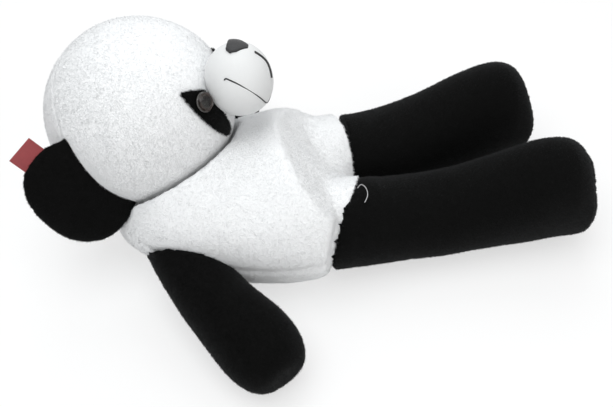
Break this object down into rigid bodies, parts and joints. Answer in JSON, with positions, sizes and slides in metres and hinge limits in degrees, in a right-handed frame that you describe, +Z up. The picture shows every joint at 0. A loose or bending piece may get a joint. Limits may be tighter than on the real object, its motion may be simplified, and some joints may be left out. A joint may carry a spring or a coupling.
{
  "type": "plush panda",
  "caption": "Large stuffed plush panda lying on its back, with a round head, floppy ears, plastic eyes and stuffed arms and legs that bend at their roots.",
  "frame": {"origin": "on the floor under the middle of the flat of the back", "axes": "+X towards the feet, +Z up out of the belly, -Y the panda's own right side"},
  "size_m": [0.7911, 0.6298, 0.3185],
  "materials": {
    "white_plush": "rough",
    "black_plush": "rough",
    "white_velvet": "rough",
    "dark_cloth": "rough",
    "black_thread": "rough",
    "filling": "rough",
    "red_ribbon": "rough",
    "white_thread": "rough",
    "clear_plastic": "polished",
    "dark_plastic": "polished",
    "white_plastic": "matte"
  },
  "bodies": {
    "torso": {"torso_front_panel": "white_plush", "torso_back_right_panel": "white_plush", "torso_back_left_panel": "white_plush", "torso_stuffing": "filling"},
    "neck": {"neck_zone": "white_plush"},
    "head": {"face_right_panel": "white_plush", "face_left_panel": "white_plush", "forehead_gusset": "white_plush", "head_back_right_panel": "white_plush", "head_back_left_panel": "white_plush", "head_stuffing": "filling", "muzzle_cover": "white_velvet", "muzzle_stuffing": "filling", "nose_cover": "dark_cloth", "philtrum_stitch": "black_thread", "mouth_stitch": "black_thread", "eye_patch_right": "black_plush", "eye_patch_left": "black_plush", "eye_right_lens": "clear_plastic", "eye_right_back": "dark_plastic", "eye_right_washer": "white_plastic", "eye_left_lens": "clear_plastic", "eye_left_back": "dark_plastic", "eye_left_washer": "white_plastic", "ear_right_root": "black_plush", "ear_left_root": "black_plush"},
    "ear_right": {"ear_right_front": "black_plush", "ear_right_back": "black_plush"},
    "ear_left": {"ear_left_front": "black_plush", "ear_left_back": "black_plush"},
    "label": {"side_label": "red_ribbon"},
    "shoulder_right": {"arm_right_root": "black_plush"},
    "arm_right": {"arm_right_front_panel": "black_plush", "arm_right_back_panel": "black_plush", "arm_right_stuffing": "filling"},
    "hip_right": {"leg_right_root": "black_plush", "loose_thread": "white_thread"},
    "leg_right": {"leg_right_inner_panel": "black_plush", "leg_right_outer_panel": "black_plush", "leg_right_stuffing": "filling", "leg_right_sole": "black_plush"},
    "shoulder_left": {"arm_left_root": "black_plush"},
    "arm_left": {"arm_left_front_panel": "black_plush", "arm_left_back_panel": "black_plush", "arm_left_stuffing": "filling"},
    "hip_left": {"leg_left_root": "black_plush"},
    "leg_left": {"leg_left_inner_panel": "black_plush", "leg_left_outer_panel": "black_plush", "leg_left_stuffing": "filling", "leg_left_sole": "black_plush"}
  },
  "joints": [
    {"name": "neck_turn", "type": "hinge", "parent": "torso", "child": "neck", "pos_m": [-0.13632, 0.05292, 0.08611], "axis": [0.379, -0.3909, -0.8388], "range_deg": [-20, 4], "deforming": ["neck_zone"]},
    {"name": "neck_nod", "type": "hinge", "parent": "neck", "child": "head", "pos_m": [-0.13632, 0.05292, 0.08611], "axis": [-0.4321, -0.8763, 0.2131], "range_deg": [-8, 12], "deforming": ["neck_zone"]},
    {"name": "ear_right_fold", "type": "hinge", "parent": "head", "child": "ear_right", "pos_m": [-0.25979, -0.00084, 0.16373], "axis": [0.558, -0.2928, -0.7765], "range_deg": [-25, 28], "deforming": ["ear_right_root"]},
    {"name": "arm_right_swing", "type": "hinge", "parent": "torso", "child": "shoulder_right", "pos_m": [-0.15, -0.066, 0.072], "axis": [0, 0, 1], "range_deg": [-40, 0], "deforming": ["arm_right_root"]},
    {"name": "arm_right_raise", "type": "hinge", "parent": "shoulder_right", "child": "arm_right", "pos_m": [-0.15, -0.066, 0.072], "axis": [-0.91, -0.4147, 0], "range_deg": [-20, 54], "deforming": ["arm_right_root"]},
    {"name": "leg_right_spread", "type": "hinge", "parent": "torso", "child": "hip_right", "pos_m": [0.084, -0.059, 0.063], "axis": [0, 0, -1], "range_deg": [0, 35], "deforming": ["leg_right_root"]},
    {"name": "leg_right_raise", "type": "hinge", "parent": "hip_right", "child": "leg_right", "pos_m": [0.084, -0.059, 0.063], "axis": [0, -1, 0], "range_deg": [-25, 50], "deforming": ["leg_right_root"]},
    {"name": "ear_left_fold", "type": "hinge", "parent": "head", "child": "ear_left", "pos_m": [-0.15867, 0.20421, 0.11388], "axis": [-0.4283, 0.5557, 0.7126], "range_deg": [-28, 4], "deforming": ["ear_left_root"]},
    {"name": "arm_left_swing", "type": "hinge", "parent": "torso", "child": "shoulder_left", "pos_m": [-0.082, 0.07, 0.054], "axis": [0, 0, 1], "range_deg": [-12, 0], "deforming": ["arm_left_root"]},
    {"name": "arm_left_raise", "type": "hinge", "parent": "shoulder_left", "child": "arm_left", "pos_m": [-0.082, 0.07, 0.054], "axis": [0.9781, -0.2079, 0], "range_deg": [-20, 4], "deforming": ["arm_left_root"]},
    {"name": "leg_left_spread", "type": "hinge", "parent": "torso", "child": "hip_left", "pos_m": [0.062, 0.066, 0.063], "axis": [0, 0, 1], "range_deg": [0, 35], "deforming": ["leg_left_root"]},
    {"name": "leg_left_raise", "type": "hinge", "parent": "hip_left", "child": "leg_left", "pos_m": [0.062, 0.066, 0.063], "axis": [0, -1, 0], "range_deg": [-25, 50], "deforming": ["leg_left_root"]},
    {"name": "label_flap", "type": "hinge", "parent": "ear_right", "child": "label", "pos_m": [-0.32525, 0.0129, 0.21364], "axis": [-0.7531, -0.3931, -0.5275], "range_deg": [-50, 50]}
  ]
}
